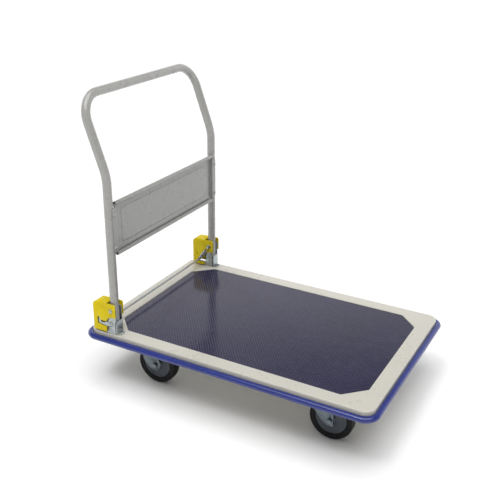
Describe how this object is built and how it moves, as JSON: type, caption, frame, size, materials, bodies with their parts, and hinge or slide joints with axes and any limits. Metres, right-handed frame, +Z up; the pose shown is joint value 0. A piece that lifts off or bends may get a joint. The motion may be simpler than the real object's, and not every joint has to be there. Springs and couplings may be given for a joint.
{
  "type": "folding platform cart",
  "caption": "Platform cart with a matted pressed-steel deck, wrap-around bumper, fold-down tube handle with panel, sprung foot-release rod, rigid front and swivel rear casters.",
  "frame": {"origin": "centre of the deck's footprint, on the ground under the wheels", "axes": "+X along the deck from the handle to the free end, +Y to the pusher's left, +Z up"},
  "size_m": [0.91, 0.61, 0.8678],
  "materials": {
    "beige_paint": "semi-gloss powder coat",
    "handle_paint": "semi-gloss powder coat",
    "panel_paint": "semi-gloss powder coat",
    "mat_vinyl": "fine embossed PVC, slightly glossy",
    "blue_bumper": "glossy extruded PVC",
    "yellow_cover": "moulded plastic",
    "zinc_plate": "zinc plated, satin",
    "bare_steel": "drawn bar, satin",
    "tyre_rubber": "matt black rubber",
    "hub_plastic": "moulded, satin",
    "black_plastic": "moulded, matt"
  },
  "bodies": {
    "deck": {"deck_pan": "beige_paint", "front_crossmember": "beige_paint", "rear_crossmember": "beige_paint", "center_stiffener": "beige_paint", "deck_mat": "mat_vinyl", "edge_bumper": "blue_bumper", "hinge_bracket_right": "zinc_plate", "pivot_bolt_right": "zinc_plate", "hinge_cover_right": "yellow_cover", "pivot_retainer_right": "bare_steel", "lever_pin_right": "bare_steel", "return_spring_right": "bare_steel", "rigid_fork_front_right": "zinc_plate", "axle_bolt_front_right": "zinc_plate", "axle_nut_front_right": "zinc_plate", "caster_plate_rear_right": "zinc_plate", "swivel_race_rear_right": "zinc_plate", "kingpin_rear_right": "bare_steel", "axle_sleeve_front_right": "bare_steel", "hinge_bracket_left": "zinc_plate", "pivot_bolt_left": "zinc_plate", "hinge_cover_left": "yellow_cover", "pivot_retainer_left": "bare_steel", "lever_pin_left": "bare_steel", "return_spring_left": "bare_steel", "rigid_fork_front_left": "zinc_plate", "axle_bolt_front_left": "zinc_plate", "axle_nut_front_left": "zinc_plate", "caster_plate_rear_left": "zinc_plate", "swivel_race_rear_left": "zinc_plate", "kingpin_rear_left": "bare_steel", "axle_sleeve_front_left": "bare_steel"},
    "lock_bar": {"release_rod": "bare_steel", "lock_lever_right": "zinc_plate", "lock_lever_left": "zinc_plate"},
    "handle": {"handle_tube": "handle_paint", "handle_panel": "panel_paint", "panel_rivet_right_lower": "bare_steel", "panel_rivet_right_upper": "bare_steel", "leg_cap_right": "black_plastic", "panel_rivet_left_lower": "bare_steel", "panel_rivet_left_upper": "bare_steel", "leg_cap_left": "black_plastic"},
    "wheel_front_right": {"tyre_front_right": "tyre_rubber", "wheel_hub_front_right": "hub_plastic"},
    "wheel_front_left": {"tyre_front_left": "tyre_rubber", "wheel_hub_front_left": "hub_plastic"},
    "swivel_rear_right": {"swivel_fork_rear_right": "zinc_plate", "axle_bolt_rear_right": "zinc_plate", "axle_nut_rear_right": "zinc_plate", "axle_sleeve_rear_right": "bare_steel"},
    "wheel_rear_right": {"tyre_rear_right": "tyre_rubber", "wheel_hub_rear_right": "hub_plastic"},
    "swivel_rear_left": {"swivel_fork_rear_left": "zinc_plate", "axle_bolt_rear_left": "zinc_plate", "axle_nut_rear_left": "zinc_plate", "axle_sleeve_rear_left": "bare_steel"},
    "wheel_rear_left": {"tyre_rear_left": "tyre_rubber", "wheel_hub_rear_left": "hub_plastic"}
  },
  "joints": [
    {"name": "handle_fold", "type": "hinge", "parent": "deck", "child": "handle", "pos_m": [-0.3546, 0, 0.25], "axis": [0, 1, 0], "range_deg": [0, 90]},
    {"name": "lock_release", "type": "hinge", "parent": "deck", "child": "lock_bar", "pos_m": [-0.36, 0, 0.205], "axis": [0, -1, 0], "range_deg": [0, 12], "stiffness_Nm_per_rad": 1.5, "springref_deg": -22.92},
    {"name": "wheel_front_right_spin", "type": "hinge", "parent": "deck", "child": "wheel_front_right", "pos_m": [0.3025, -0.195, 0.0625], "axis": [0, 1, 0], "continuous": true},
    {"name": "wheel_front_left_spin", "type": "hinge", "parent": "deck", "child": "wheel_front_left", "pos_m": [0.3025, 0.195, 0.0625], "axis": [0, 1, 0], "continuous": true},
    {"name": "swivel_rear_right_turn", "type": "hinge", "parent": "deck", "child": "swivel_rear_right", "pos_m": [-0.295, -0.195, 0.14], "axis": [0, 0, 1], "continuous": true},
    {"name": "wheel_rear_right_spin", "type": "hinge", "parent": "swivel_rear_right", "child": "wheel_rear_right", "pos_m": [-0.259, -0.195, 0.0625], "axis": [0, 1, 0], "continuous": true},
    {"name": "swivel_rear_left_turn", "type": "hinge", "parent": "deck", "child": "swivel_rear_left", "pos_m": [-0.295, 0.195, 0.14], "axis": [0, 0, 1], "continuous": true},
    {"name": "wheel_rear_left_spin", "type": "hinge", "parent": "swivel_rear_left", "child": "wheel_rear_left", "pos_m": [-0.259, 0.195, 0.0625], "axis": [0, 1, 0], "continuous": true}
  ]
}
